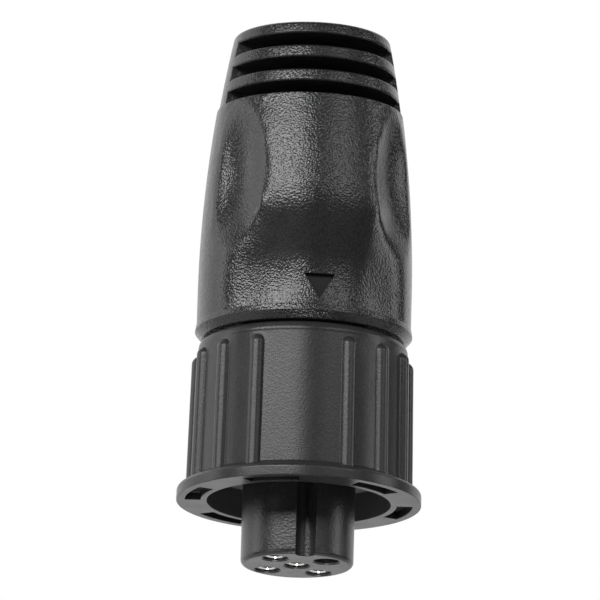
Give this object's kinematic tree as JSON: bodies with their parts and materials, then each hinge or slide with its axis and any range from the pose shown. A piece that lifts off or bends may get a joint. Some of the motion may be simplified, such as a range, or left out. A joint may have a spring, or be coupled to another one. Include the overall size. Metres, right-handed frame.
{
  "type": "network terminator plug",
  "caption": "Round keyed terminator plug: moulded grip with thumb hollows, freely turning ribbed coupling nut, contact nose with sockets and a terminating resistor inside.",
  "frame": {"origin": "centre of the flat end of the contact nose", "axes": "+Z along the plug from the nose to the tail of the grip; the key groove and the arrow face -Y"},
  "size_m": [0.0184, 0.0184, 0.0409],
  "materials": {
    "grip_plastic": "black moulded plastic with a fine leather grain",
    "nut_plastic": "black moulded plastic, satin, lightly grained",
    "insert_plastic": "black moulded plastic, smooth satin",
    "seal_rubber": "black nitrile rubber",
    "resistor_lacquer": "tan lacquer",
    "tinned_wire": "tinned copper wire",
    "contact_metal": "turned brass with a bright nickel plating"
  },
  "bodies": {
    "plug": {"grip_body": "grip_plastic", "contact_insert": "insert_plastic", "seal_ring": "seal_rubber", "termination_resistor": "resistor_lacquer", "resistor_leads": "tinned_wire", "socket_contact_1": "contact_metal", "socket_contact_2": "contact_metal", "socket_contact_3": "contact_metal", "socket_contact_4": "contact_metal", "socket_contact_5": "contact_metal"},
    "nut": {"coupling_nut": "nut_plastic"}
  },
  "joints": [
    {"name": "nut_spin", "type": "hinge", "parent": "plug", "child": "nut", "pos_m": [0, 0, 0.0155], "axis": [0, 0, 1], "continuous": true}
  ]
}
